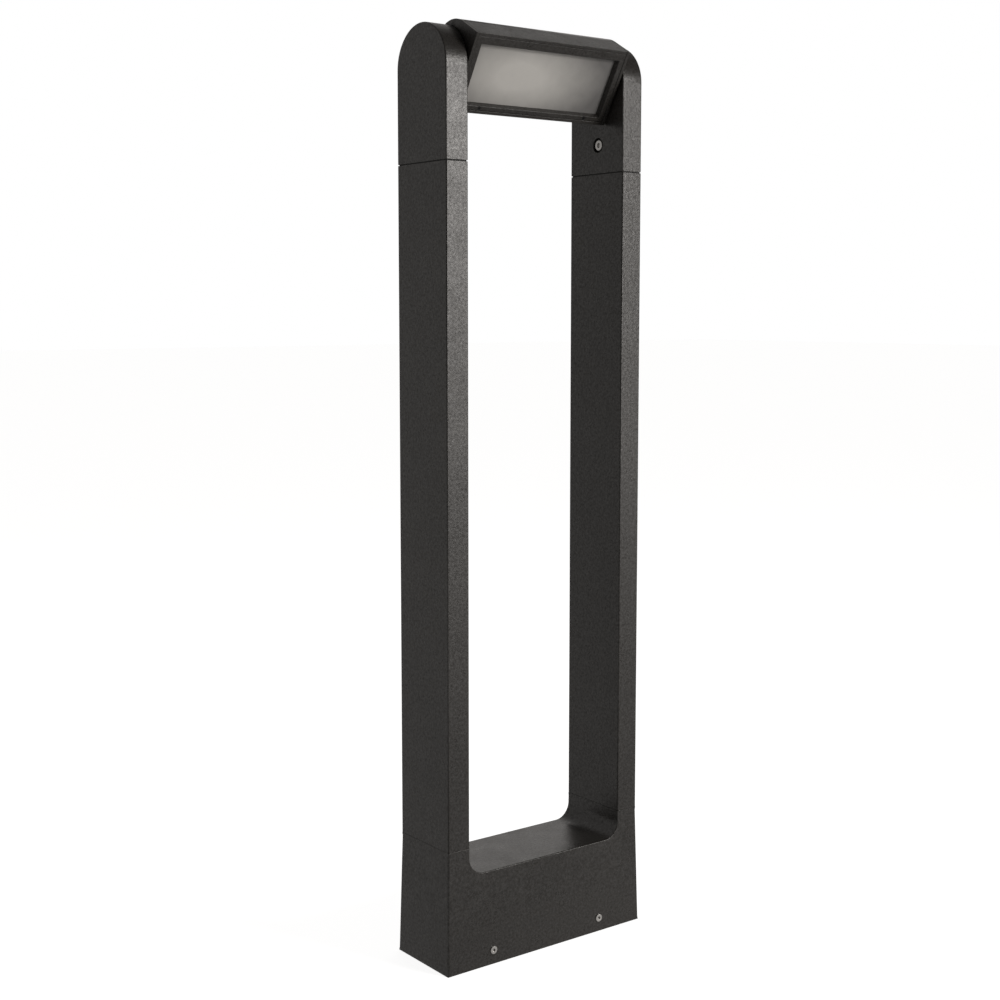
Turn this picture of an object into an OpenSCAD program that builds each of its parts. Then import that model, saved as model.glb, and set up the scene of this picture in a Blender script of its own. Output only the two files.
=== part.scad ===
// Garden bollard light: two flat posts on a cast base, a round-topped cap on each post,
// and a light head that tilts on a pivot between the caps.
// The front is -Y, the floor is Z = 0, and the origin is the middle of the footprint.

/* [Overall] */
// Width across both posts
overall_w = 212; // [200:1:280]
// Height from the floor to the top of the caps
overall_h = 800; // [480:1:1100]
// Width of one post, seen from the front
post_w = 22; // [22:0.5:28]
// Depth of a post, front to back
post_d = 71; // [69:1:90]

/* [Base] */
// Height of the joint between the base and the posts
base_h = 107.5; // [100:0.5:140]
// Height of the flat between the posts
saddle_h = 83.5; // [78:0.5:90]
// Radius of the saddle's two inner corners
saddle_r = 15; // [6:1:18]
// How far each side of the base flares out between the joint and the floor
base_flare = 2.4; // [0.5:0.1:4]
// Wall of the base casting
base_wall = 3; // [2.5:0.1:4]
// Distance between the two fixing screws in the front of the base
base_screw_span = 120; // [90:1:130]
// Height of the base fixing screws above the floor
base_screw_z = 12.5; // [10:0.5:16]
// Thickness of the foot plate
plate_t = 4; // [3:0.5:5]
// Distance between anchor holes, side to side
anchor_span_x = 150; // [140:1:160]
// Distance between anchor holes, front to back
anchor_span_y = 30; // [26:1:34]
// Anchor hole radius
anchor_r = 3.5; // [3:0.25:4.5]
// Bore of the cable grommet
grommet_bore = 12; // [8:0.5:14]

/* [Posts and caps] */
// Wall of a post
post_wall = 2.5; // [2:0.1:3]
// Wall of a cap
cap_wall = 3; // [2.5:0.1:3.2]
// Height of a cap
cap_h = 113; // [100:1:140]
// Thickness of the gasket under a cap
gasket_t = 0.8; // [0.6:0.1:1.5]
// Rounding of the long edges of the posts and caps
edge_r = 1; // [0.6:0.1:1.5]
// Height of the cap fixing screw above the cap joint
cap_screw_rise = 25; // [20:0.5:30]
// How far the cap fixing screw sits in front of the middle of the cap
cap_screw_forward = 2; // [0:0.5:4]

/* [Head] */
// Angle the light points below level, at rest
head_rest_tilt = 30; // [0:1:60]
// Gap between the head and each cap
head_gap = 1.5; // [1.5:0.1:2.5]
// Pivot to the front of the head
head_front = 28.3; // [27:0.1:32]
// Pivot to the back of the head
head_back = 22; // [21:0.1:26]
// Pivot to the top of the head
head_top = 43.5; // [42:0.5:50]
// Pivot to the underside of the head
head_bottom = 25.3; // [25:0.1:30]
// Radius of the head's rounded back
head_back_r = 27; // [20:0.5:30]
// Wall of the head shell
head_wall = 2.8; // [2.4:0.1:3]
// Thickness of the head's end plates
end_t = 3; // [2.5:0.1:4]
// Width of the frame round the window, at the sides
frame_side = 10.1; // [9:0.1:14]
// Width of the frame above the window
frame_top = 11.1; // [10:0.1:14]
// Width of the frame below the window
frame_bottom = 8.6; // [8.6:0.1:12]
// Depth of the diffuser behind the front of the head
window_recess = 4.8; // [4:0.1:6]
// Thickness of the diffuser
diffuser_t = 3; // [2:0.5:4]
// LED rows and columns
led_rows = 3; // [2:1:3]
led_columns = 9; // [5:1:10]

/* [Pivot and leads] */
// Diameter of the pivot shafts
shaft_d = 10; // [9:0.5:11]
// Running clearance of a shaft in its bush, on the radius
shaft_clearance = 0.05; // [0.02:0.01:0.1]
// Diameter of the lead to the head
lead_d = 3.5; // [2.5:0.1:4]

/* [Hidden] */
$fn = 64;
hull_fn = 32;
slip = 0.3;          // clearance round a piece that slides into another
snug = 0.1;          // clearance of a screw or spigot in its hole
over = 1;            // how far a cut runs past the face it opens

// Colours
anthracite = [0.21, 0.20, 0.19];
black_steel = [0.12, 0.12, 0.12];
steel = [0.75, 0.75, 0.74];
black_rubber = [0.06, 0.06, 0.06];
opal = [0.80, 0.79, 0.75];
white_plastic = [0.90, 0.90, 0.88];
brass = [0.80, 0.65, 0.35];
board_white = [0.93, 0.93, 0.90];

// Heights and places that follow from the driving sizes
axis_z = overall_h - post_d / 2;
cap_z = overall_h - cap_h;
post_top_z = cap_z - gasket_t;
post_x = overall_w / 2 - post_w / 2;
window_w = overall_w - 2 * post_w;

// How far the base's outer face stands out past the posts at height z
function flare_at(z) = base_flare * (1 - z / base_h);

// Base
base_edge_r = 1.5;
saddle_chamfer = 0.9;
shoulder_t = 5;
flare_angle = atan(base_flare / base_h);
flange_t = 3;
flange_h = 22;
plate_half_w = overall_w / 2 + flare_at(flange_h) - base_wall - slip;
plate_half_d = post_d / 2 + flare_at(flange_h) - base_wall - slip;
flange_y = plate_half_d - flange_t;
flange_l = base_screw_span + 30;
plate_corner_r = 2;
small_screw_d = 4;
small_head_d = 7;
small_head_h = 2.2;
small_head_sink = 1.4;
small_hex = 2.5;
clinch_d = 8;
clinch_h = 3;
screw_reach = base_wall + flare_at(0) + flange_t + clinch_h;
boss_drop = 6;
boss_d = 9;

// Electrical parts in the base
driver_l = 110;
driver_d = 40;
driver_h = 24;
driver_ear = 14;
driver_ear_t = 3;
driver_top_z = saddle_h - base_wall - boss_drop;
driver_screw_x = driver_l / 2 + driver_ear / 2;
driver_lead_z = driver_top_z - driver_h / 2;
terminal_l = 32;
terminal_d = 18;
terminal_h = 20;
terminal_x = 42;
terminal_poles = 3;
terminal_screw_d = 4.5;
terminal_lead_z = plate_t + 10;
lead_bend = 8;
grommet_x = -18;
grommet_wall = 3.5;
grommet_lip = 2.5;
earth_x = -48;
earth_d = 5;
earth_h = 16;
earth_nut_af = 8;
earth_nut_h = 4;

// Posts
port_d = 8.5;
port_core = 4.2;
port_screw_d = 5;
port_head_d = 8;
port_web = 3;
port_y = post_d / 2 - cap_wall - 2 * slip - port_head_d / 2;
port_head_h = 3;
port_grip = 14;
gasket_inset = 0.8;

// Caps and pivot
insert_plate_t = 4;
insert_tab_t = 6;
insert_tab_w = 24;
insert_tab_h = 38;
cap_screw_d = 5;
cap_screw_head_d = 9;
cap_screw_head_h = 2.5;
cap_screw_recess_d = 13;
cap_screw_recess = 3.2;
cap_screw_pad_t = 1.5;
cap_screw_pad_d = cap_screw_recess_d + 4;
cap_screw_hex = 4;
cap_screw_z = cap_z + cap_screw_rise;
cap_inner_x = overall_w / 2 - post_w;
boss_reach = 2;
pivot_boss_d = 19;
bush_wall = 1.5;
bush_flange_d = 17;
bush_flange_t = head_gap - slip;
shaft_r = shaft_d / 2;
bush_bore_r = shaft_r + shaft_clearance;
bush_r = bush_bore_r + bush_wall;
shaft_head_d = 20;
shaft_head_t = 4;
washer_t = 0.8;
nut_t = 4;
nut_af = 14;
shaft_tail = 0.4;
shaft_bore = 5.5;
boss_end_x = cap_inner_x + cap_wall + boss_reach;
washer_x = boss_end_x + slip;
nut_x = washer_x + washer_t;
shaft_end_x = nut_x + nut_t + shaft_tail;
seal_inner_d = bush_flange_d + 1.4;
seal_outer_d = seal_inner_d + 5;
seal_sink = 0.8;
lead_x = post_x + 4;
riser_bend = 5.5;

// Head, in its own frame: -Y is where the light points and Z is up its face
head_half = cap_inner_x - head_gap;
shell_half = head_half - end_t;
low_r = 10;
inner_top = head_top - head_wall;
inner_bottom = -head_bottom + head_wall;
back_c = head_back - head_back_r;
rib_n = 1;
rib_t = 3;
rib_h = 5;
plate_n = rib_n + rib_t;
heat_t = 2.5;
board_n = plate_n + heat_t;
board_t = 1.6;
chip = 3;
chip_t = 0.8;
m3 = 3;
m3_head_d = 5.5;
m3_head_h = 1.8;
end_port_d = 7;
end_port_core = 2.6;
end_ports = [[6, 35], [15, -18.5]];
end_screw_l = 14;
window_half = head_half - frame_side;
window_top = head_top - frame_top;
window_bottom = -head_bottom + frame_bottom;
window_mid = (window_top + window_bottom) / 2;
window_h = window_top - window_bottom;
bezel_slope = 1.9;
bezel_set = 0.3;
diffuser_n = head_front - window_recess;
diffuser_lap = 1.8;
gasket_n = diffuser_n - diffuser_t;
seal_t = 1;
tray_n = gasket_n - seal_t;
tray_wall = 1.2;
tray_gap = 0.6;
tongue_n = 1.2;
tongue_t = 1.6;
tongue_h = 0.7;
bezel_screw_d = 2.5;
bezel_head_d = 3.6;
bezel_screw_span = 114;
bezel_screw_v = inner_bottom + 2.1;
bezel_boss_w = 8;
bezel_boss_n = 11;
plate_half = shell_half - shaft_head_t - 1;
plate_screw_x = plate_half - 8;
board_half = window_half - 6;
board_screw_x = board_half - 4;
board_rise = 17;
board_lead_x = plate_half - 14;

// ---------- shared shapes ----------

// Rectangle with round corners and true arcs
module rounded_rect(w, d, r) {
    square([w - 2 * r, d], center = true);
    square([w, d - 2 * r], center = true);
    for (x = [-1, 1], y = [-1, 1])
        translate([x * (w / 2 - r), y * (d / 2 - r)]) circle(r);
}

// Puts the same piece on the left and on the right
module both_sides() {
    children();
    mirror([1, 0, 0]) children();
}

// Stands a 2-D outline, drawn as depth by height, across the width
module across(w) {
    rotate([90, 0, 90]) linear_extrude(w, center = true) children();
}

// Lays a shape drawn along +Z along +X
module along_x() {
    rotate([0, 90, 0]) children();
}

// Lays a shape drawn along +Z along -Y
module along_front() {
    rotate([90, 0, 0]) children();
}

// Screw with a round head on the Z = 0 face, its stem going down and a hex socket in the head
module screw(d, length, head_d, head_h, hex) {
    difference() {
        union() {
            translate([0, 0, -length]) cylinder(d = d, h = length);
            cylinder(d = head_d, h = head_h);
        }
        translate([0, 0, head_h * 0.4]) cylinder(d = hex / cos(30), h = head_h, $fn = 6);
    }
}

// Flush countersunk screw, its top at Z = 0
module flush_screw(d, length, head_d) {
    sink = (head_d - d) / 2;
    difference() {
        union() {
            translate([0, 0, -length]) cylinder(d = d, h = length);
            translate([0, 0, -sink]) cylinder(d1 = d, d2 = head_d, h = sink);
        }
        translate([0, 0, -sink * 0.8]) cylinder(d = d * 0.6, h = sink, $fn = 6);
    }
}

// Hole that a flush screw sits in, its mouth at Z = 0
module flush_hole(d, length, head_d) {
    sink = (head_d - d) / 2;
    translate([0, 0, -length]) cylinder(d = d + 2 * snug, h = length + over);
    translate([0, 0, -sink]) cylinder(d1 = d + 2 * snug, d2 = head_d + 2 * snug, h = sink);
    cylinder(d = head_d + 2 * snug, h = over);
}

// Straight length of round lead, from the origin up
module lead_run(length) {
    cylinder(d = lead_d, h = length);
}

// Quarter turn of lead: starts upward at the origin and ends pointing along +X
module lead_turn(bend) {
    translate([bend, 0, 0]) rotate([90, 0, 180])
        rotate_extrude(angle = 90) translate([bend, 0]) circle(d = lead_d);
}

// ---------- base ----------

// Drafted block with round upright edges, drawn in by inset, from z0 to z1
module flared_block(inset, z0, z1) {
    skin = 0.01;
    hull() {
        for (z = [z0, z1 - skin]) {
            grow = 2 * (flare_at(z) - inset);
            translate([0, 0, z]) linear_extrude(skin)
                rounded_rect(overall_w + grow, post_d + grow, base_edge_r, $fn = hull_fn);
        }
    }
}

// Outline of the gap above the saddle, drawn in by inset and running up past the base
module saddle_outline(inset) {
    w = window_w + 2 * inset;
    r = saddle_r + inset;
    z0 = saddle_h - inset;
    top = base_h + 10;
    translate([-w / 2, z0 + r]) square([w, top - z0 - r]);
    translate([-w / 2 + r, z0]) square([w - 2 * r, r + over]);
    for (x = [-1, 1]) translate([x * (w / 2 - r), z0 + r]) circle(r);
}

// Chamfer along the front edge of the saddle, leaning with the drafted face
module saddle_chamfer_cut() {
    skin = 0.01;
    translate([0, -post_d / 2, base_h]) rotate([-flare_angle, 0, 0]) translate([0, 0, -base_h])
        hull() {
            translate([0, saddle_chamfer, 0]) along_front()
                linear_extrude(skin) saddle_outline(0, $fn = hull_fn);
            translate([0, -saddle_chamfer, 0]) along_front()
                linear_extrude(skin) saddle_outline(2 * saddle_chamfer, $fn = hull_fn);
        }
}

// Places a base fixing screw: on the face of the base, pointing out of it
module at_base_screws() {
    face = post_d / 2 + flare_at(base_screw_z);
    for (x = [-1, 1], side = [0, 180])
        rotate([0, 0, side]) translate([x * base_screw_span / 2, -face, base_screw_z])
            along_front() children();
}

// Places a screw in each port of both posts, at height z
module at_ports(z) {
    for (x = [-1, 1], y = [-1, 1])
        translate([x * post_x, y * port_y, z]) children();
}

module base_casting() {
    color(anthracite) difference() {
        union() {
            difference() {
                flared_block(0, 0, base_h);
                along_front() linear_extrude(2 * post_d, center = true) saddle_outline(0);
                saddle_chamfer_cut();
                mirror([0, 1, 0]) saddle_chamfer_cut();
                difference() {
                    flared_block(base_wall, -over, base_h - shoulder_t);
                    along_front() linear_extrude(2 * post_d, center = true)
                        saddle_outline(base_wall);
                }
            }
            for (x = [-1, 1]) translate([x * driver_screw_x, 0, driver_top_z])
                cylinder(d = boss_d, h = boss_drop + base_wall / 2);
        }
        at_base_screws() {
            translate([0, 0, -2 * base_wall])
                cylinder(d = small_screw_d + 2 * snug, h = 3 * base_wall);
            translate([0, 0, -small_head_sink])
                cylinder(d = small_head_d + 4 * snug, h = over + small_head_sink);
        }
        at_ports(base_h - shoulder_t - over) cylinder(d = port_screw_d + 2 * snug, h = shoulder_t + 2 * over);
        translate([-lead_x, 0, base_h - shoulder_t - over])
            cylinder(d = lead_d + 2.5, h = shoulder_t + 2 * over);
        for (x = [-1, 1]) translate([x * driver_screw_x, 0, driver_top_z - over])
            cylinder(d = small_screw_d - 2 * snug, h = boss_drop);
    }
}

module foot_plate() {
    color(steel) difference() {
        union() {
            linear_extrude(plate_t) rounded_rect(2 * plate_half_w, 2 * plate_half_d, plate_corner_r);
            for (y = [-1, 1]) translate([0, y * (plate_half_d - flange_t / 2), flange_h / 2])
                cube([flange_l, flange_t, flange_h], center = true);
        }
        for (x = [-1, 1], y = [-1, 1])
            translate([x * anchor_span_x / 2, y * anchor_span_y / 2, -over])
                cylinder(r = anchor_r, h = plate_t + 2 * over);
        translate([grommet_x, 0, -over])
            cylinder(d = grommet_bore + 2 * (grommet_wall + snug), h = plate_t + 2 * over);
        translate([earth_x, 0, -over]) cylinder(d = earth_d + 2 * snug, h = plate_t + 2 * over);
        at_base_screws()
            translate([0, 0, -screw_reach]) cylinder(d = small_screw_d + 2 * snug, h = screw_reach);
    }
}

// Threaded clinch nuts on the inside of the foot plate's flanges
module clinch_nuts() {
    color(steel) for (x = [-1, 1], side = [0, 180])
        rotate([0, 0, side]) translate([x * base_screw_span / 2, -flange_y, base_screw_z])
            along_front() mirror([0, 0, 1]) difference() {
                cylinder(d = clinch_d, h = clinch_h);
                translate([0, 0, -over]) cylinder(d = small_screw_d + 2 * snug, h = clinch_h + 2 * over);
            }
}

module base_fixing_screws() {
    color(steel) at_base_screws() translate([0, 0, -small_head_sink])
        screw(small_screw_d, screw_reach, small_head_d, small_head_h, small_hex);
}

module cable_grommet() {
    outer = grommet_bore + 2 * grommet_wall;
    color(black_rubber) translate([grommet_x, 0, 0]) difference() {
        union() {
            cylinder(d = outer, h = plate_t);
            translate([0, 0, plate_t]) cylinder(d = outer + 2 * grommet_lip, h = grommet_lip);
        }
        translate([0, 0, -over]) cylinder(d = grommet_bore, h = plate_t + grommet_lip + 2 * over);
    }
}

module terminal_block() {
    pitch = terminal_l / terminal_poles;
    color(white_plastic) translate([terminal_x, 0, plate_t]) difference() {
        translate([-terminal_l / 2, -terminal_d / 2, 0]) cube([terminal_l, terminal_d, terminal_h]);
        for (i = [0 : terminal_poles - 1])
            translate([-terminal_l / 2 + pitch * (i + 0.5), 0, terminal_h - 6])
                cylinder(d = terminal_screw_d + 2 * snug, h = 6 + over);
    }
}

module terminal_screws() {
    pitch = terminal_l / terminal_poles;
    color(brass) for (i = [0 : terminal_poles - 1])
        translate([terminal_x - terminal_l / 2 + pitch * (i + 0.5), 0, plate_t + terminal_h - 6])
            difference() {
                cylinder(d = terminal_screw_d, h = 4);
                translate([-terminal_screw_d, -0.4, 3]) cube([2 * terminal_screw_d, 0.8, 2]);
            }
}

module earth_stud() {
    color(brass) translate([earth_x, 0, 0]) cylinder(d = earth_d, h = earth_h);
}

module earth_nut() {
    color(brass) translate([earth_x, 0, plate_t]) difference() {
        cylinder(d = earth_nut_af / cos(30), h = earth_nut_h, $fn = 6);
        translate([0, 0, -over]) cylinder(d = earth_d + 2 * snug, h = earth_nut_h + 2 * over);
    }
}

module led_driver() {
    color(white_plastic) difference() {
        union() {
            translate([0, 0, driver_top_z - driver_h])
                linear_extrude(driver_h) rounded_rect(driver_l, driver_d, 2);
            translate([0, 0, driver_top_z - driver_ear_t])
                linear_extrude(driver_ear_t) rounded_rect(driver_l + 2 * driver_ear, driver_d / 2, 3);
        }
        for (x = [-1, 1]) translate([x * driver_screw_x, 0, driver_top_z - driver_h])
            cylinder(d = small_screw_d + 2 * snug, h = driver_h + over);
    }
}

module driver_screws() {
    color(steel) for (x = [-1, 1])
        translate([x * driver_screw_x, 0, driver_top_z - driver_ear_t]) mirror([0, 0, 1])
            screw(small_screw_d - 4 * snug, driver_ear_t + boss_drop - 2,
                small_head_d, small_head_h, small_hex);
}

// Lead from the terminal block out to the right, up and back into the driver
module driver_lead() {
    start = terminal_x + terminal_l / 2;
    bend_x = max(start, driver_l / 2) + 2;
    color(black_rubber) {
        translate([start, 0, terminal_lead_z]) along_x() lead_run(bend_x - start);
        translate([bend_x + lead_bend, 0, terminal_lead_z + lead_bend])
            rotate([0, 180, 0]) lead_turn(lead_bend);
        translate([bend_x + lead_bend, 0, terminal_lead_z + lead_bend])
            lead_run(driver_lead_z - terminal_lead_z - 2 * lead_bend);
        translate([bend_x + lead_bend, 0, driver_lead_z - lead_bend]) mirror([1, 0, 0]) lead_turn(lead_bend);
        translate([driver_l / 2, 0, driver_lead_z]) along_x() lead_run(bend_x - driver_l / 2);
    }
}

// Lead from the driver into the left post, up it and round into the hollow pivot
module riser_lead() {
    rise = axis_z - driver_lead_z - lead_bend - riser_bend;
    color(black_rubber) {
        translate([-lead_x + lead_bend, 0, driver_lead_z]) along_x()
            lead_run(lead_x - lead_bend - driver_l / 2);
        translate([-lead_x, 0, driver_lead_z + lead_bend]) mirror([0, 0, 1]) lead_turn(lead_bend);
        translate([-lead_x, 0, driver_lead_z + lead_bend]) lead_run(rise);
        translate([-lead_x, 0, axis_z - riser_bend]) lead_turn(riser_bend);
    }
}

module post_tie_screws() {
    color(steel) at_ports(base_h - shoulder_t) mirror([0, 0, 1])
        screw(port_core - snug, shoulder_t + port_grip, port_head_d, port_head_h, cap_screw_hex);
}

// ---------- posts ----------

module post(side) {
    inner_w = post_w - 2 * post_wall;
    inner_d = post_d - 2 * post_wall;
    color(anthracite) translate([side * post_x, 0, base_h])
        linear_extrude(post_top_z - base_h) difference() {
            union() {
                difference() {
                    rounded_rect(post_w, post_d, edge_r);
                    square([inner_w, inner_d], center = true);
                }
                for (y = [-1, 1]) translate([0, y * port_y]) {
                    circle(d = port_d);
                    translate([-port_web / 2, y > 0 ? 0 : -port_d / 2 - post_wall])
                        square([port_web, port_d / 2 + post_wall]);
                }
            }
            for (y = [-1, 1]) translate([0, y * port_y]) circle(d = port_core);
        }
}

module left_post() { post(-1); }
module right_post() { post(1); }

// Block screwed on the top of a post, with a tab that the cap's screw bites into
module cap_insert() {
    plate_w = post_w - 2 * (cap_wall + slip);
    plate_d = post_d - 2 * (cap_wall + slip);
    tab_x = cap_inner_x + cap_wall + cap_screw_pad_t + slip;
    color(steel) difference() {
        union() {
            translate([post_x, 0, post_top_z]) linear_extrude(insert_plate_t)
                rounded_rect(plate_w, plate_d, edge_r);
            translate([tab_x, -insert_tab_w / 2, post_top_z])
                cube([insert_tab_t, insert_tab_w, insert_tab_h]);
        }
        translate([lead_x, 0, post_top_z - over])
            cylinder(d = lead_d + 1.5, h = insert_plate_t + 2 * over);
        at_ports(post_top_z - over) cylinder(d = port_screw_d + 2 * snug, h = insert_plate_t + 2 * over);
        translate([tab_x - over, -cap_screw_forward, cap_screw_z]) along_x()
            cylinder(d = cap_screw_d + 2 * snug, h = insert_tab_t + 2 * over);
    }
}

module left_cap_insert() { mirror([1, 0, 0]) cap_insert(); }
module right_cap_insert() { cap_insert(); }

module insert_screws() {
    color(steel) at_ports(post_top_z + insert_plate_t)
        screw(port_core - snug, insert_plate_t + port_grip, port_head_d, port_head_h, cap_screw_hex);
}

// ---------- caps ----------

module cap_gasket(side) {
    color(black_rubber) translate([side * post_x, 0, post_top_z]) linear_extrude(gasket_t) difference() {
        rounded_rect(post_w - 2 * gasket_inset, post_d - 2 * gasket_inset, edge_r);
        rounded_rect(post_w - 2 * cap_wall, post_d - 2 * cap_wall, edge_r);
    }
}

module left_cap_gasket() { cap_gasket(-1); }
module right_cap_gasket() { cap_gasket(1); }

// Upright slab with a half-round top about the pivot, its long edges rounded
module round_top(w, d, r, z0) {
    translate([post_x, 0, z0]) linear_extrude(axis_z - z0) rounded_rect(w, d, r);
    translate([post_x, 0, axis_z]) intersection() {
        rotate([0, 90, 0]) rotate_extrude() intersection() {
            rounded_rect(d, w, r);
            translate([0, -w]) square([d, 2 * w]);
        }
        translate([-w, -d, 0]) cube([2 * w, 2 * d, d]);
    }
}

module cap() {
    color(anthracite) difference() {
        union() {
            difference() {
                round_top(post_w, post_d, edge_r, cap_z);
                round_top(post_w - 2 * cap_wall, post_d - 2 * cap_wall, edge_r, cap_z - over);
            }
            translate([cap_inner_x + cap_wall / 2, 0, axis_z]) along_x()
                cylinder(d = pivot_boss_d, h = boss_end_x - cap_inner_x - cap_wall / 2);
            translate([cap_inner_x + cap_wall / 2, -cap_screw_forward, cap_screw_z]) along_x()
                cylinder(d = cap_screw_pad_d, h = cap_wall / 2 + cap_screw_pad_t);
        }
        translate([cap_inner_x - over, 0, axis_z]) along_x()
            cylinder(r = bush_r + snug / 2, h = boss_end_x - cap_inner_x + 2 * over);
        translate([cap_inner_x - over, -cap_screw_forward, cap_screw_z]) along_x() {
            cylinder(d = cap_screw_d + 2 * snug, h = cap_wall + cap_screw_pad_t + 2 * over);
            cylinder(d = cap_screw_recess_d, h = over + cap_screw_recess);
        }
    }
}

module left_cap() { mirror([1, 0, 0]) cap(); }
module right_cap() { cap(); }

module cap_fixing_screws() {
    grip = cap_wall + cap_screw_pad_t - cap_screw_recess + slip + insert_tab_t;
    color(steel) both_sides()
        translate([cap_inner_x + cap_screw_recess, -cap_screw_forward, cap_screw_z])
            rotate([0, -90, 0])
                screw(cap_screw_d, grip, cap_screw_head_d, cap_screw_head_h, cap_screw_hex);
}

// ---------- pivot ----------

module bush() {
    color(brass) translate([0, 0, axis_z]) difference() {
        union() {
            translate([cap_inner_x, 0, 0]) along_x() cylinder(r = bush_r, h = boss_end_x - cap_inner_x);
            translate([cap_inner_x - bush_flange_t, 0, 0]) along_x()
                cylinder(d = bush_flange_d, h = bush_flange_t);
        }
        translate([cap_inner_x - 2 * head_gap, 0, 0]) along_x()
            cylinder(r = bush_bore_r, h = boss_end_x - cap_inner_x + 3 * head_gap);
    }
}

module left_bush() { mirror([1, 0, 0]) bush(); }
module right_bush() { bush(); }

// Moves a shape from the head's own frame to where the head sits at rest
module head_frame() {
    translate([0, 0, axis_z]) rotate([head_rest_tilt, 0, 0]) children();
}

// Flanged stub shaft, clamped inside the end plate; bore is 0 for a solid one
module pivot_shaft(bore) {
    color(steel) head_frame() difference() {
        union() {
            translate([shell_half - shaft_head_t, 0, 0]) along_x()
                cylinder(d = shaft_head_d, h = shaft_head_t);
            translate([shell_half - over, 0, 0]) along_x()
                cylinder(r = shaft_r, h = shaft_end_x - shell_half + over);
        }
        if (bore > 0) translate([shell_half - 2 * shaft_head_t, 0, 0]) along_x()
            cylinder(d = bore, h = shaft_end_x);
    }
}

module left_pivot_shaft() { mirror([1, 0, 0]) pivot_shaft(shaft_bore); }
module right_pivot_shaft() { pivot_shaft(0); }

module pivot_nuts() {
    color(steel) head_frame() both_sides() translate([nut_x, 0, 0]) along_x() difference() {
        cylinder(d = nut_af / cos(30), h = nut_t, $fn = 6);
        translate([0, 0, -over]) cylinder(r = shaft_r + snug / 2, h = nut_t + 2 * over);
    }
}

module friction_washers() {
    color(steel) head_frame() both_sides() translate([washer_x, 0, 0]) along_x() difference() {
        cylinder(d = nut_af + 2, h = washer_t);
        translate([0, 0, -over]) cylinder(r = shaft_r + snug, h = washer_t + 2 * over);
    }
}

module pivot_seals() {
    color(black_rubber) head_frame() both_sides()
        translate([head_half - seal_sink, 0, 0]) along_x() difference() {
            cylinder(d = seal_outer_d, h = seal_sink + head_gap - slip - snug);
            translate([0, 0, -over]) cylinder(d = seal_inner_d, h = seal_sink + head_gap + 2 * over);
        }
}

// ---------- head ----------

// Side outline of the head, drawn in by inset: flat front and top, round back
module head_outline(inset) {
    front = -head_front + inset;
    back = head_back - inset;
    top = head_top - inset;
    bottom = -head_bottom + inset;
    r_top = head_back_r - inset;
    r_low = low_r - inset;
    mid = top - r_top;
    intersection() {
        translate([back_c, mid]) circle(r_top);
        translate([back_c, mid - over]) square([r_top + over, r_top + 2 * over]);
    }
    translate([back - r_low, bottom + r_low]) circle(r_low);
    translate([front, mid]) square([back_c - front, r_top]);
    translate([front, bottom + r_low]) square([back - front, mid - bottom - r_low]);
    translate([front, bottom]) square([back - r_low - front, r_low + over]);
}

module head_shell() {
    color(anthracite) head_frame() {
        difference() {
            union() {
                across(2 * shell_half) difference() {
                    union() {
                        difference() {
                            head_outline(0);
                            head_outline(head_wall);
                            translate([-head_front - over, inner_bottom])
                                square([head_front, inner_top - inner_bottom]);
                        }
                        translate([-rib_n - rib_t, inner_top - rib_h]) square([rib_t, rib_h + over]);
                        translate([-rib_n - rib_t, inner_bottom - over]) square([rib_t, rib_h + over]);
                        for (p = end_ports) translate(p) circle(d = end_port_d);
                    }
                    for (p = end_ports) translate(p) circle(d = end_port_core);
                    translate([-head_front + bezel_set + tongue_n - slip, inner_top - over])
                        square([tongue_t + 2 * slip, over + tongue_h + slip / 2]);
                }
                for (x = [-1, 1]) translate([x * bezel_screw_span / 2 - bezel_boss_w / 2,
                    -diffuser_n, inner_bottom - over])
                    cube([bezel_boss_w, diffuser_n - bezel_boss_n,
                        window_bottom - diffuser_lap - snug - inner_bottom + over]);
            }
            for (x = [-1, 1]) {
                for (z = [inner_top - rib_h / 2, inner_bottom + rib_h / 2])
                    translate([x * plate_screw_x, -rib_n + over, z]) along_front()
                        cylinder(d = m3 - 2 * snug, h = rib_t + 2 * over);
                translate([x * bezel_screw_span / 2, -bezel_boss_n - over, bezel_screw_v]) along_front()
                    cylinder(d = bezel_screw_d, h = diffuser_n);
            }
        }
    }
}

module end_plate() {
    color(anthracite) head_frame() difference() {
        translate([shell_half + end_t / 2, 0, 0]) across(end_t) head_outline(0);
        translate([shell_half - over, 0, 0]) along_x() cylinder(r = shaft_r + snug / 2, h = end_t + 2 * over);
        translate([head_half - seal_sink, 0, 0]) along_x() difference() {
            cylinder(d = seal_outer_d + 2 * snug, h = seal_sink + over);
            translate([0, 0, -over]) cylinder(d = seal_inner_d - 2 * snug, h = seal_sink + 3 * over);
        }
        for (p = end_ports) translate([head_half, p[0], p[1]]) along_x()
            flush_hole(m3, end_t + over, m3_head_d);
    }
}

module left_end_plate() { mirror([1, 0, 0]) end_plate(); }
module right_end_plate() { end_plate(); }

module end_plate_screws() {
    color(black_steel) head_frame() both_sides() for (p = end_ports)
        translate([head_half, p[0], p[1]]) along_x()
            flush_screw(end_port_core - snug, end_screw_l, m3_head_d);
}

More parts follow.
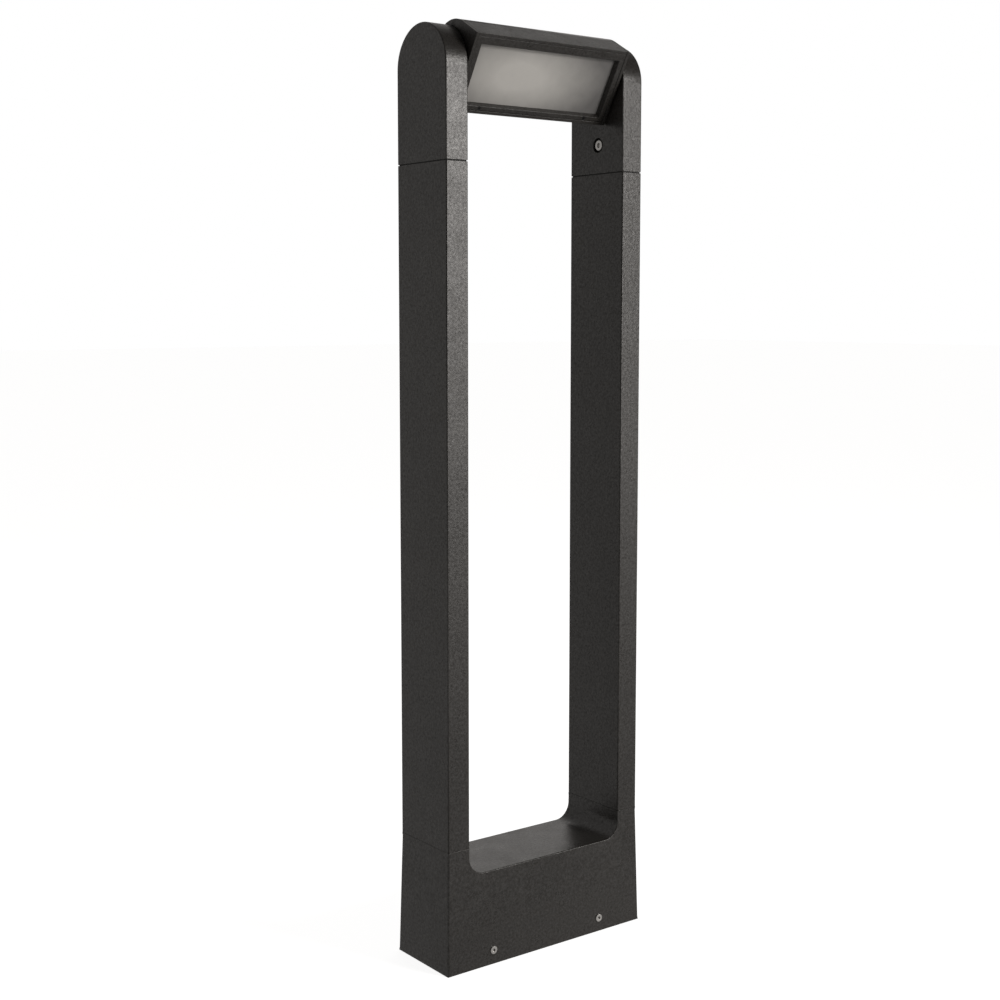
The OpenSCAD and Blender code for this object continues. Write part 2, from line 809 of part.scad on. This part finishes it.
// Plate that carries the LED board and spreads its heat into the shell
module heat_plate() {
    color(steel) head_frame() difference() {
        translate([-plate_half, -plate_n - heat_t, inner_bottom + slip])
            cube([2 * plate_half, heat_t, inner_top - inner_bottom - 2 * slip]);
        for (x = [-1, 1], z = [inner_top - rib_h / 2, inner_bottom + rib_h / 2])
            translate([x * plate_screw_x, -plate_n + over, z]) along_front()
                cylinder(d = m3 + 2 * snug, h = heat_t + 2 * over);
        for (x = [-1, 1], z = [-1, 1])
            translate([x * board_screw_x, -plate_n + over, window_mid + z * board_rise]) along_front()
                cylinder(d = m3 - 2 * snug, h = heat_t + 2 * over);
        translate([-board_lead_x, -plate_n + over, 0]) along_front()
            cylinder(d = lead_d + 2, h = heat_t + 2 * over);
    }
}

module plate_screws() {
    color(steel) head_frame() for (x = [-1, 1], z = [inner_top - rib_h / 2, inner_bottom + rib_h / 2])
        translate([x * plate_screw_x, -plate_n - heat_t, z]) along_front()
            screw(m3 - 4 * snug, heat_t + rib_t, m3_head_d - 1, m3_head_h, 2);
}

module led_board() {
    color(board_white) head_frame() difference() {
        translate([-board_half, -board_n - board_t, window_mid - board_rise - 4])
            cube([2 * board_half, board_t, 2 * board_rise + 8]);
        for (x = [-1, 1], z = [-1, 1])
            translate([x * board_screw_x, -board_n + over, window_mid + z * board_rise]) along_front()
                cylinder(d = m3 + 2 * snug, h = board_t + 2 * over);
    }
}

module board_screws() {
    color(steel) head_frame() for (x = [-1, 1], z = [-1, 1])
        translate([x * board_screw_x, -board_n - board_t, window_mid + z * board_rise]) along_front()
            screw(m3 - 4 * snug, board_t + heat_t, m3_head_d, m3_head_h, 2);
}

module led_chips() {
    pitch_x = (2 * board_screw_x - 10) / led_columns;
    pitch_z = 2 * board_rise / led_rows;
    color(opal) head_frame() for (i = [0 : led_columns - 1], j = [0 : led_rows - 1])
        translate([(i - (led_columns - 1) / 2) * pitch_x, -board_n - board_t - chip_t / 2,
            window_mid + (j - (led_rows - 1) / 2) * pitch_z])
            cube([chip, chip_t, chip], center = true);
}

// Lead from the hollow pivot along the back of the heat plate and through it to the board
module board_lead() {
    start = lead_x - riser_bend;
    bend = 5;
    run = start - board_lead_x - bend;
    color(black_rubber) head_frame() {
        translate([-start, 0, 0]) along_x() lead_run(run);
        translate([-board_lead_x - bend, -bend, 0])
            rotate_extrude(angle = 90) translate([bend, 0]) circle(d = lead_d);
        translate([-board_lead_x, -bend, 0]) along_front() lead_run(board_n - bend);
    }
}

// White frame that throws the light forward, open at its back for the board
module reflector_tray() {
    w = 2 * window_half + 2 * tray_gap;
    h = window_h + 2 * tray_gap;
    color(white_plastic) head_frame() difference() {
        translate([0, -board_n, window_mid]) along_front()
            linear_extrude(tray_n - board_n) difference() {
                rounded_rect(w + 2 * tray_wall, h + 2 * tray_wall, 2);
                rounded_rect(w, h, 1);
            }
        for (x = [-1, 1]) translate([x * plate_screw_x, -board_n + over, inner_bottom + rib_h / 2])
            along_front() cylinder(d = m3_head_d, h = m3_head_h + over + slip);
    }
}

module diffuser_gasket() {
    w = 2 * window_half + 2 * diffuser_lap;
    h = window_h + 2 * diffuser_lap;
    color(black_rubber) head_frame() translate([0, -tray_n, window_mid]) along_front()
        linear_extrude(seal_t) difference() {
            rounded_rect(w, h, 2);
            rounded_rect(2 * window_half, window_h, 1);
        }
}

module diffuser() {
    w = 2 * window_half + 2 * diffuser_lap;
    h = window_h + 2 * diffuser_lap;
    color(opal) head_frame() translate([0, -gasket_n, window_mid]) along_front()
        linear_extrude(diffuser_t) rounded_rect(w, h, 2);
}

module front_bezel() {
    w = 2 * (shell_half - slip / 2);
    bottom = inner_bottom + slip / 2;
    top = inner_top - slip / 2;
    depth = window_recess - bezel_set;
    skin = 0.01;
    color(anthracite) head_frame() difference() {
        union() {
            translate([-w / 2, -diffuser_n - depth, bottom]) cube([w, depth, top - bottom]);
            translate([-w / 2, -diffuser_n - depth + tongue_n, top - over])
                cube([w, tongue_t, over + tongue_h]);
        }
        hull() {
            translate([-window_half, -diffuser_n, window_bottom]) cube([2 * window_half, over, window_h]);
            translate([-window_half - bezel_slope, -diffuser_n - depth - skin, window_bottom - bezel_slope])
                cube([2 * (window_half + bezel_slope), skin, window_h + 2 * bezel_slope]);
        }
        for (x = [-1, 1]) translate([x * bezel_screw_span / 2, -diffuser_n - depth, bezel_screw_v])
            along_front() flush_hole(bezel_screw_d, depth + over, bezel_head_d);
    }
}

module bezel_screws() {
    color(black_steel) head_frame() for (x = [-1, 1])
        translate([x * bezel_screw_span / 2, -head_front + bezel_set, bezel_screw_v])
            along_front() flush_screw(bezel_screw_d - 2 * snug, 14, bezel_head_d);
}

base_casting();
foot_plate();
clinch_nuts();
base_fixing_screws();
cable_grommet();
terminal_block();
terminal_screws();
earth_stud();
earth_nut();
led_driver();
driver_screws();
driver_lead();
riser_lead();
post_tie_screws();
left_post();
right_post();
left_cap_insert();
right_cap_insert();
insert_screws();
left_cap_gasket();
right_cap_gasket();
left_cap();
right_cap();
cap_fixing_screws();
left_bush();
right_bush();
left_pivot_shaft();
right_pivot_shaft();
pivot_nuts();
friction_washers();
pivot_seals();
head_shell();
left_end_plate();
right_end_plate();
end_plate_screws();
heat_plate();
plate_screws();
led_board();
board_screws();
led_chips();
board_lead();
reflector_tray();
diffuser_gasket();
diffuser();
front_bezel();
bezel_screws();
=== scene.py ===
"""Bollard light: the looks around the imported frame. Metres, +Z up, front is -Y."""
import math

import bmesh
import bpy
from mathutils import Matrix, Vector


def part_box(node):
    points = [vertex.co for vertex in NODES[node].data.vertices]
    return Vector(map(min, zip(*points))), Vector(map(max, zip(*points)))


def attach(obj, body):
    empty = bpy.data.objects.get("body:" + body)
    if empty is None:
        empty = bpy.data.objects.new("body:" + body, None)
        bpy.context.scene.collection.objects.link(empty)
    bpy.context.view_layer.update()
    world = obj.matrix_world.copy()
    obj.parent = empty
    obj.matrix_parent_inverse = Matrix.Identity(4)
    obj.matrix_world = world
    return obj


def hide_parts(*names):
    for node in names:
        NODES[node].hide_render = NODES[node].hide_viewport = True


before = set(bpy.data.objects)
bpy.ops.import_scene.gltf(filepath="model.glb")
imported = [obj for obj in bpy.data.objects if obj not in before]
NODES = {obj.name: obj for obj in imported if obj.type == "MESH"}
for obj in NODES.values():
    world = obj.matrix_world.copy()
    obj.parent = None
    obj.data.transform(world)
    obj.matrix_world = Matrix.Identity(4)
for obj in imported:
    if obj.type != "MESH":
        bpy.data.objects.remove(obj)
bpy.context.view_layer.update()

MM = 0.001

# Camera: place, heading, downward pitch, focal length over sensor width, and framing shift
CAMERA_AT = Vector((-0.8488, -1.0884, 0.5665))
CAMERA_HEADING = math.radians(-37.137)
CAMERA_PITCH = math.radians(5.868)
FOCAL_RATIO = 1.5700
SENSOR = 36.0
SHIFT_Y = -0.030

# Base casting: what its box doesn't say
BASE_FLARE = 2.4 * MM
BASE_WALL = 3 * MM
SHOULDER_T = 5 * MM
SADDLE_Z = 83.5 * MM
SADDLE_R = 15 * MM
ARC_STEPS = 18
SIDE_EDGE_R = 1.5 * MM
SADDLE_EDGE_R = 0.9 * MM
PLAIN_EDGE_R = 0.4 * MM
CORNER_RUN = 2.5 * MM
LONG_SIDE = 3 * CORNER_RUN
EDGE_STEPS = 4
SCREW_HOLE_D = 4.2 * MM
SCREW_HOLE_DEPTH = 2 * BASE_WALL
SCREW_RECESS_D = 7.4 * MM
SCREW_RECESS = 1.4 * MM
HOLE_SIDES = 40
MITRE_LIMIT = 0.2
OVER = 2 * MM

# Edge rounding of the CAD's own nodes, and shading of the new piece
WELD_REACH = 0.002 * MM
FLAT_ANGLE = math.radians(0.5)
EDGE_ANGLE = math.radians(35)
EDGE_SEGMENTS = 2
SMOOTH_ANGLE = math.radians(30)

# Stage
FLOOR_HALF = 20
LIGHT_AIM = Vector((0, 0, 0.45))
LIGHT_COLOUR = (1.0, 0.965, 0.93)
ROOM_COLOUR = (1.0, 0.97, 0.94, 1)
ROOM_BEHIND = 0.44


def linear(*srgb):
    """An 8-bit colour as the shader's linear colour."""
    out = []
    for value in srgb:
        v = value / 255
        out.append(v / 12.92 if v <= 0.04045 else ((v + 0.055) / 1.055) ** 2.4)
    return (*out, 1.0)


# ---------- material building ----------


class Finish:
    """A node material around one Principled shader, in object coordinates."""

    def __init__(self, name, **sockets):
        self.material = bpy.data.materials.new(name)
        self.material.use_nodes = True
        self.tree = self.material.node_tree
        self.tree.nodes.clear()
        self.shader = self.add("ShaderNodeBsdfPrincipled")
        output = self.add("ShaderNodeOutputMaterial")
        self.link(self.shader.outputs["BSDF"], output.inputs["Surface"])
        self.place = self.add("ShaderNodeTexCoord").outputs["Object"]
        for socket, value in sockets.items():
            self.shader.inputs[socket.replace("_", " ")].default_value = value

    def add(self, kind, **settings):
        node = self.tree.nodes.new(kind)
        for key, value in settings.items():
            setattr(node, key, value)
        return node

    def link(self, source, target):
        self.tree.links.new(source, target)

    def moved(self, location, scale):
        """Object coordinates in a frame of their own."""
        node = self.add("ShaderNodeMapping", vector_type="TEXTURE")
        node.inputs["Location"].default_value = location
        node.inputs["Scale"].default_value = scale
        self.link(self.place, node.inputs["Vector"])
        return node.outputs["Vector"]

    def noise(self, size, detail=2.0, rough=0.5):
        """Noise whose grains are about size metres across."""
        node = self.add("ShaderNodeTexNoise")
        node.inputs["Scale"].default_value = 1 / size
        node.inputs["Detail"].default_value = detail
        node.inputs["Roughness"].default_value = rough
        self.link(self.place, node.inputs["Vector"])
        return node.outputs["Fac"]

    def span(self, value, low, high, from_low=0.3, from_high=0.7):
        """Value, moved from one range to another."""
        node = self.add("ShaderNodeMapRange")
        node.inputs["From Min"].default_value = from_low
        node.inputs["From Max"].default_value = from_high
        node.inputs["To Min"].default_value = low
        node.inputs["To Max"].default_value = high
        self.link(value, node.inputs["Value"])
        return node.outputs["Result"]

    def total(self, a, b):
        node = self.add("ShaderNodeMath", operation="ADD")
        self.link(a, node.inputs[0])
        self.link(b, node.inputs[1])
        return node.outputs["Value"]

    def blend(self, share, low, high):
        """A colour between two colours or colour outputs, by share."""
        node = self.add("ShaderNodeMix", data_type="RGBA")
        self.link(share, node.inputs["Factor"])
        for socket, value in ((node.inputs[6], low), (node.inputs[7], high)):
            if isinstance(value, tuple):
                socket.default_value = value
            else:
                self.link(value, socket)
        return node.outputs[2]

    def colour(self, output):
        self.link(output, self.shader.inputs["Base Color"])

    def roughness(self, output):
        self.link(output, self.shader.inputs["Roughness"])

    def bump(self, height, depth):
        """Adds relief of depth metres on top of any relief already there."""
        node = self.add("ShaderNodeBump")
        node.inputs["Distance"].default_value = depth
        self.link(height, node.inputs["Height"])
        normal = self.shader.inputs["Normal"]
        if normal.is_linked:
            self.link(normal.links[0].from_socket, node.inputs["Normal"])
        self.link(node.outputs["Normal"], normal)


def powder_coat():
    """Dark satin coat with a fine sandy grain and faint rub marks."""
    finish = Finish("powder_coat_anthracite", IOR=1.5)
    grain = finish.noise(1.1 * MM, 3.0, 0.6)
    glint = finish.noise(2.2 * MM, 3.0, 0.7)
    fleck = finish.noise(0.45 * MM, 1.0)
    cloud = finish.noise(80 * MM, 2.0)
    smear = finish.noise(22 * MM, 4.0, 0.6)
    tone = finish.blend(finish.span(cloud, 0, 1), linear(38, 36, 34), linear(45, 43, 41))
    finish.colour(finish.blend(finish.span(fleck, 0, 0.6, 0.6, 0.8), tone, linear(92, 89, 85)))
    rough = finish.span(grain, 0.28, 0.38)
    finish.roughness(finish.total(rough, finish.span(smear, -0.05, 0.05)))
    finish.link(finish.span(glint, 0.24, 0.76), finish.shader.inputs["Specular IOR Level"])
    finish.bump(finish.noise(3.5 * MM, 1.0), 0.08 * MM)
    finish.bump(grain, 0.12 * MM)
    finish.bump(fleck, 0.02 * MM)
    return finish.material


def metal(name, dark, light, low_rough, high_rough, grain_size, depth):
    """Bare or plated metal with fine tool grain and a clouded tone between two linear colours."""
    finish = Finish(name, Metallic=1.0)
    cloud = finish.noise(4 * MM, 3.0, 0.6)
    grain = finish.noise(grain_size, 3.0, 0.6)
    finish.colour(finish.blend(finish.span(cloud, 0, 1), (*dark, 1), (*light, 1)))
    finish.roughness(finish.span(grain, low_rough, high_rough))
    finish.bump(grain, depth)
    return finish.material


def soft_black(name, base, low_rough, high_rough, depth):
    """Rubber or cable jacket: matt black with a fine moulded skin and dust in it."""
    finish = Finish(name, IOR=1.5)
    skin = finish.noise(0.4 * MM, 2.0)
    dust = finish.noise(9 * MM, 4.0, 0.6)
    dusty = linear(*(value + 14 for value in base))
    finish.colour(finish.blend(finish.span(dust, 0, 1), linear(*base), dusty))
    finish.roughness(finish.span(skin, low_rough, high_rough))
    finish.bump(skin, depth)
    return finish.material


def moulded(name, dark, light, low_rough, high_rough):
    """Moulded plastic or lacquer with a faint orange-peel skin."""
    finish = Finish(name, IOR=1.46)
    cloud = finish.noise(15 * MM, 3.0)
    skin = finish.noise(0.8 * MM, 2.0)
    finish.colour(finish.blend(finish.span(cloud, 0, 1), linear(*dark), linear(*light)))
    finish.roughness(finish.span(skin, low_rough, high_rough))
    finish.bump(skin, 0.01 * MM)
    return finish.material


def opal():
    """Frosted sheet over the light box, with painted light and shade in its colour: brightest left
    of its middle, darker towards its ends.
    """
    finish = Finish("opal_diffuser", IOR=1.49)
    low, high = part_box("diffuser")
    middle = (low + high) / 2
    reach = (high - low) / 2
    # Painted light: the colour is lightest around this point, left of the sheet's middle.
    brightest = middle - Vector((0.3 * reach.x, 0, 0))
    painted_light_spot = finish.moved(brightest, (1.25 * reach.x, 1, 1.6 * reach.z))
    flat = finish.add("ShaderNodeVectorMath", operation="MULTIPLY")
    finish.link(painted_light_spot, flat.inputs[0])
    flat.inputs[1].default_value = (1, 0, 1)
    far = finish.add("ShaderNodeVectorMath", operation="LENGTH")
    finish.link(flat.outputs["Vector"], far.inputs[0])
    frost = finish.noise(0.5 * MM, 2.0)
    cloud = finish.noise(12 * MM, 2.0)
    # Painted shade: the colour darkens from the painted light towards the ends of the sheet, down
    # to the darker colour below.
    painted_shade_fade = finish.span(far.outputs["Value"], 0, 1, 0.25, 1.0)
    share = finish.total(painted_shade_fade, finish.span(cloud, -0.04, 0.04))
    finish.colour(finish.blend(share, linear(190, 188, 184), linear(100, 99, 98)))
    finish.roughness(finish.span(frost, 0.42, 0.55))
    finish.bump(frost, 0.01 * MM)
    return finish.material


MATERIALS = {
    "powder_coat": powder_coat(),
    "stainless": metal("stainless_screw", (0.42, 0.41, 0.40), (0.58, 0.57, 0.55),
                       0.22, 0.36, 0.3 * MM, 0.01 * MM),
    "black_steel": metal("black_steel", (0.03, 0.03, 0.03), (0.06, 0.06, 0.06),
                         0.35, 0.5, 0.3 * MM, 0.01 * MM),
    "zinc_steel": metal("zinc_steel", (0.50, 0.51, 0.50), (0.66, 0.65, 0.60),
                        0.3, 0.45, 0.5 * MM, 0.01 * MM),
    "brass": metal("brass", (0.62, 0.44, 0.18), (0.78, 0.58, 0.27),
                   0.25, 0.4, 0.4 * MM, 0.01 * MM),
    "bronze_bush": metal("bronze_bush", (0.38, 0.25, 0.14), (0.52, 0.36, 0.20),
                         0.35, 0.5, 0.3 * MM, 0.02 * MM),
    "aluminium": metal("aluminium_plate", (0.72, 0.73, 0.74), (0.84, 0.84, 0.84),
                       0.3, 0.42, 0.5 * MM, 0.01 * MM),
    "black_rubber": soft_black("black_rubber", (20, 20, 20), 0.65, 0.8, 0.02 * MM),
    "lead_jacket": soft_black("lead_jacket", (26, 26, 27), 0.45, 0.6, 0.01 * MM),
    "white_plastic": moulded("white_plastic", (222, 221, 216), (234, 233, 229), 0.4, 0.5),
    "board": moulded("board_lacquer", (226, 228, 222), (238, 238, 233), 0.25, 0.35),
    "led_lens": moulded("led_lens", (226, 196, 92), (240, 212, 116), 0.15, 0.25),
    "opal_diffuser": opal(),
}


# ---------- shapes ----------


def add_piece(name, mesh, body, slot, *stands_for):
    """Puts a new mesh in the scene, in place of the CAD nodes that it stands for."""
    piece = bpy.data.objects.new(name, mesh)
    bpy.context.scene.collection.objects.link(piece)
    mesh.materials.append(MATERIALS[slot])
    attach(piece, body)
    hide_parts(*stands_for)
    return piece


def mitre(before, at, after):
    """Inward step at a corner of an anticlockwise outline that moves both of its sides by 1."""
    a = (at - before).normalized()
    b = (after - at).normalized()
    inward = Vector((-a.y - b.y, a.x + b.x)).normalized()
    return inward / max(inward.dot(Vector((-a.y, a.x))), MITRE_LIMIT)


def quarter(centre, radius, start):
    """Points of a quarter circle, clockwise from the angle start, in degrees."""
    out = []
    for i in range(ARC_STEPS + 1):
        angle = math.radians(start - 90 * i / ARC_STEPS)
        out.append(centre + radius * Vector((math.cos(angle), math.sin(angle))))
    return out


def outline_sides(corners):
    """Outline of (point, edge radius), with added points near the ends of each long side.

    Each corner given is a point and the edge radius of the side that starts there.
    """
    out = []
    for i, (start, radius) in enumerate(corners):
        end = corners[(i + 1) % len(corners)][0]
        before = corners[i - 1][1]
        out.append((start, min(radius, before)))
        if (end - start).length > LONG_SIDE:
            run = (end - start).normalized() * CORNER_RUN
            out.append((start + run, radius))
            out.append((end - run, radius))
    return out


def slab(outline, face_y):
    """Solid with rounded edges: an outline between faces at -face_y(z) and face_y(z)."""
    work = bmesh.new()
    count = len(outline)
    points = [p for p, r in outline]
    inward = [mitre(points[i - 1], points[i], points[(i + 1) % count]) for i in range(count)]
    rings = {}
    for side in (-1, 1):
        for step in range(EDGE_STEPS + 1):
            angle = math.pi / 2 * step / EDGE_STEPS
            ring = []
            for (point, radius), direction in zip(outline, inward):
                p = point + direction * radius * (1 - math.sin(angle))
                y = side * (face_y(p.y) - radius * (1 - math.cos(angle)))
                ring.append(work.verts.new((p.x, y, p.y)))
            rings[side, step] = ring
    for side in (-1, 1):
        work.faces.new(rings[side, 0])
        for step in range(EDGE_STEPS):
            a, b = rings[side, step], rings[side, step + 1]
            for i in range(count):
                j = (i + 1) % count
                work.faces.new((a[i], a[j], b[j], b[i]))
    a, b = rings[-1, EDGE_STEPS], rings[1, EDGE_STEPS]
    for i in range(count):
        j = (i + 1) % count
        work.faces.new((a[i], a[j], b[j], b[i]))
    bmesh.ops.recalc_face_normals(work, faces=work.faces)
    return work


def cut(work, tools):
    """Applies bmesh tools as cuts to work, and returns the mesh."""
    mesh = bpy.data.meshes.new("cut")
    work.to_mesh(mesh)
    work.free()
    body = bpy.data.objects.new("cut", mesh)
    bpy.context.scene.collection.objects.link(body)
    helpers = []
    for tool in tools:
        tool_mesh = bpy.data.meshes.new("tool")
        tool.to_mesh(tool_mesh)
        tool.free()
        helper = bpy.data.objects.new("tool", tool_mesh)
        bpy.context.scene.collection.objects.link(helper)
        helpers.append(helper)
        boolean = body.modifiers.new("cut", "BOOLEAN")
        boolean.operation = "DIFFERENCE"
        boolean.solver = "EXACT"
        boolean.object = helper
    bpy.context.view_layer.update()
    result = body.evaluated_get(bpy.context.evaluated_depsgraph_get())
    made = bpy.data.meshes.new_from_object(result)
    for helper in (body, *helpers):
        bpy.data.objects.remove(helper)
    return made


def drum(radius, depth, at, turn):
    """Cylinder tool along Y, from depth behind at to OVER in front; turn is 0 or 180 degrees."""
    work = bmesh.new()
    bmesh.ops.create_cone(work, cap_ends=True, segments=HOLE_SIDES,
                          radius1=radius, radius2=radius, depth=depth + OVER)
    place = Matrix.Translation(at) @ Matrix.Rotation(math.radians(turn), 4, "Z")
    lay = Matrix.Rotation(math.radians(90), 4, "X")
    stand = Matrix.Translation((0, (depth - OVER) / 2, 0)) @ lay
    bmesh.ops.transform(work, matrix=place @ stand, verts=work.verts)
    return work


def shade(piece):
    """Smooth shading that keeps flats flat and sharp edges sharp."""
    mesh = piece.data
    mesh.polygons.foreach_set("use_smooth", [True] * len(mesh.polygons))
    mesh.set_sharp_from_angle(angle=SMOOTH_ANGLE)
    weigh = piece.modifiers.new("weigh", "WEIGHTED_NORMAL")
    weigh.keep_sharp = True


def base_outline(half_low, half_high, half_gap, top, saddle_z, z0, radii):
    """Front view of the base, anticlockwise from its lower left corner."""
    side, saddle, plain = radii
    corners = [
        (Vector((-half_low, z0)), plain),
        (Vector((half_low, z0)), side),
        (Vector((half_high, top)), plain),
        (Vector((half_gap, top)), saddle),
    ]
    arcs = (
        quarter(Vector((half_gap - SADDLE_R, saddle_z + SADDLE_R)), SADDLE_R, 0),
        quarter(Vector((-half_gap + SADDLE_R, saddle_z + SADDLE_R)), SADDLE_R, -90),
    )
    for arc in arcs:
        corners += [(point, saddle) for point in arc]
    corners += [(Vector((-half_gap, top)), plain), (Vector((-half_high, top)), side)]
    return outline_sides(corners)


def make_base():
    """Flared base with a saddle, hollow from below, with its four screw holes."""
    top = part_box("base_casting")[1].z
    post_low, post_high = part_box("left_post")
    half_d = post_high.y
    half_gap = -post_high.x
    half_high = -post_low.x

    def flare(z):
        return BASE_FLARE * (1 - z / top)

    outer = base_outline(half_high + flare(0), half_high, half_gap, top, SADDLE_Z, 0,
                         (SIDE_EDGE_R, SADDLE_EDGE_R, PLAIN_EDGE_R))
    inner = base_outline(half_high + flare(-OVER) - BASE_WALL, half_high - BASE_WALL,
                         half_gap + BASE_WALL, top - SHOULDER_T, SADDLE_Z - BASE_WALL, -OVER,
                         (PLAIN_EDGE_R,) * 3)
    tools = [slab(inner, lambda z: half_d + flare(z) - BASE_WALL)]
    screw_low, screw_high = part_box("base_fixing_screws")
    screw_z = (screw_low.z + screw_high.z) / 2
    head_r = (screw_high.z - screw_low.z) / 2
    for x in (screw_low.x + head_r, screw_high.x - head_r):
        face = Vector((x, -half_d - flare(screw_z), screw_z))
        for turn in (0, 180):
            at = Matrix.Rotation(math.radians(turn), 4, "Z") @ face
            tools.append(drum(SCREW_RECESS_D / 2, SCREW_RECESS, at, turn))
            tools.append(drum(SCREW_HOLE_D / 2, SCREW_HOLE_DEPTH, at, turn))
    mesh = cut(slab(outer, lambda z: half_d + flare(z)), tools)
    mesh.materials.clear()
    base = add_piece("base_shell", mesh, "stand", "powder_coat", "base_casting")
    shade(base)


def soften(node, radius):
    """Rounds a CAD node's sharp edges and shades it evenly."""
    weld = node.modifiers.new("weld", "WELD")
    weld.merge_threshold = WELD_REACH
    flat = node.modifiers.new("flat", "DECIMATE")
    flat.decimate_type = "DISSOLVE"
    flat.angle_limit = FLAT_ANGLE
    edge = node.modifiers.new("edge", "BEVEL")
    edge.limit_method = "ANGLE"
    edge.angle_limit = EDGE_ANGLE
    edge.width = radius
    edge.segments = EDGE_SEGMENTS
    edge.use_clamp_overlap = False
    edge.harden_normals = True


ROUNDED = {
    0.35 * MM: ("left_post", "right_post", "left_cap", "right_cap"),
    0.3 * MM: ("head_shell", "left_end_plate", "right_end_plate", "front_bezel"),
    0.2 * MM: ("cap_fixing_screws", "base_fixing_screws"),
}


def dress():
    """Gives each CAD node its slot's material, and rounds the edges of the ones seen most."""
    for node in NODES.values():
        slot = node.data.materials[0].name.split(".")[0]
        node.data.materials.clear()
        node.data.materials.append(MATERIALS[slot])
    for radius, names in ROUNDED.items():
        for name in names:
            soften(NODES[name], radius)


dress()
make_base()


# ---------- stage ----------


def add_floor():
    """Pale floor that shows a faint shadow and throws no light back."""
    mesh = bpy.data.meshes.new("floor")
    corners = [(x * FLOOR_HALF, y * FLOOR_HALF, 0) for x, y in ((-1, -1), (1, -1), (1, 1), (-1, 1))]
    mesh.from_pydata(corners, [], [(0, 1, 2, 3)])
    floor = bpy.data.objects.new("floor", mesh)
    bpy.context.scene.collection.objects.link(floor)
    finish = Finish("floor_pale", Base_Color=linear(203, 203, 203), Roughness=0.9,
                    Specular_IOR_Level=0.0, Emission_Color=(1, 1, 1, 1), Emission_Strength=0.87)
    mesh.materials.append(finish.material)
    floor.visible_glossy = False
    floor.visible_diffuse = False


def add_softbox(name, direction, distance, width, height, radiance):
    """Rectangular light that faces LIGHT_AIM from a direction, with the given radiance."""
    light = bpy.data.lights.new(name, "AREA")
    light.shape = "RECTANGLE"
    light.size = width
    light.size_y = height
    light.energy = radiance * width * height * math.pi
    light.color = LIGHT_COLOUR
    lamp = bpy.data.objects.new(name, light)
    way = Vector(direction).normalized()
    lamp.location = LIGHT_AIM + way * distance
    lamp.rotation_euler = way.to_track_quat("Z", "Y").to_euler()
    bpy.context.scene.collection.objects.link(lamp)


def add_world():
    """White to the camera, dim to everything else, so that the lights shape the object.

    The dim part is even behind the object, and falls off upwards in front of it and straight below.
    """
    world = bpy.data.worlds.new("studio")
    bpy.context.scene.world = world
    world.use_nodes = True
    nodes = world.node_tree.nodes
    link = world.node_tree.links.new
    nodes.clear()
    way = nodes.new("ShaderNodeSeparateXYZ")
    link(nodes.new("ShaderNodeTexCoord").outputs["Generated"], way.inputs["Vector"])

    def ramp(axis, start, end, low, high):
        """Low to high, as the axis of the direction goes from start to end."""
        node = nodes.new("ShaderNodeMapRange")
        sockets = ("From Min", "From Max", "To Min", "To Max")
        for socket, value in zip(sockets, (start, end, low, high)):
            node.inputs[socket].default_value = value
        link(way.outputs[axis], node.inputs["Value"])
        return node.outputs["Result"]

    ahead = ramp("Z", -0.35, 0.3, 0.6, 0.08)
    behind = ramp("Y", 0.1, 0.45, 0, 1)
    below = ramp("Z", -0.65, -0.45, 0.25, 1)
    level = nodes.new("ShaderNodeMix")
    link(behind, level.inputs["Factor"])
    link(ahead, level.inputs["A"])
    level.inputs["B"].default_value = ROOM_BEHIND
    strength = nodes.new("ShaderNodeMath")
    strength.operation = "MULTIPLY"
    link(level.outputs["Result"], strength.inputs[0])
    link(below, strength.inputs[1])

    room = nodes.new("ShaderNodeBackground")
    room.inputs["Color"].default_value = ROOM_COLOUR
    link(strength.outputs["Value"], room.inputs["Strength"])
    seen = nodes.new("ShaderNodeBackground")
    seen.inputs["Color"].default_value = (1, 1, 1, 1)
    mix = nodes.new("ShaderNodeMixShader")
    link(nodes.new("ShaderNodeLightPath").outputs["Is Camera Ray"], mix.inputs["Fac"])
    link(room.outputs["Background"], mix.inputs[1])
    link(seen.outputs["Background"], mix.inputs[2])
    link(mix.outputs["Shader"], nodes.new("ShaderNodeOutputWorld").inputs["Surface"])


def add_camera():
    data = bpy.data.cameras.new("camera")
    data.sensor_width = SENSOR
    data.lens = FOCAL_RATIO * SENSOR
    data.shift_y = SHIFT_Y
    camera = bpy.data.objects.new("camera", data)
    camera.location = CAMERA_AT
    camera.rotation_euler = (math.pi / 2 - CAMERA_PITCH, 0, CAMERA_HEADING)
    bpy.context.scene.collection.objects.link(camera)
    bpy.context.scene.camera = camera


add_floor()
add_world()
# Direction, distance, width, height, radiance
add_softbox("front_high", (0.92, -1.83, 0.73), 2.18, 0.7, 0.45, 19)
add_softbox("front_middle", (1.12, -1.83, 0.25), 2.17, 0.9, 0.58, 5.0)
add_softbox("front_low", (1.12, -1.83, -0.24), 2.17, 0.9, 0.4, 2.3)
add_softbox("back_box", (0.58, 0.74, 0.33), 2.2, 1.4, 1.0, 0.55)
add_camera()
bpy.context.scene.view_settings.view_transform = "Standard"
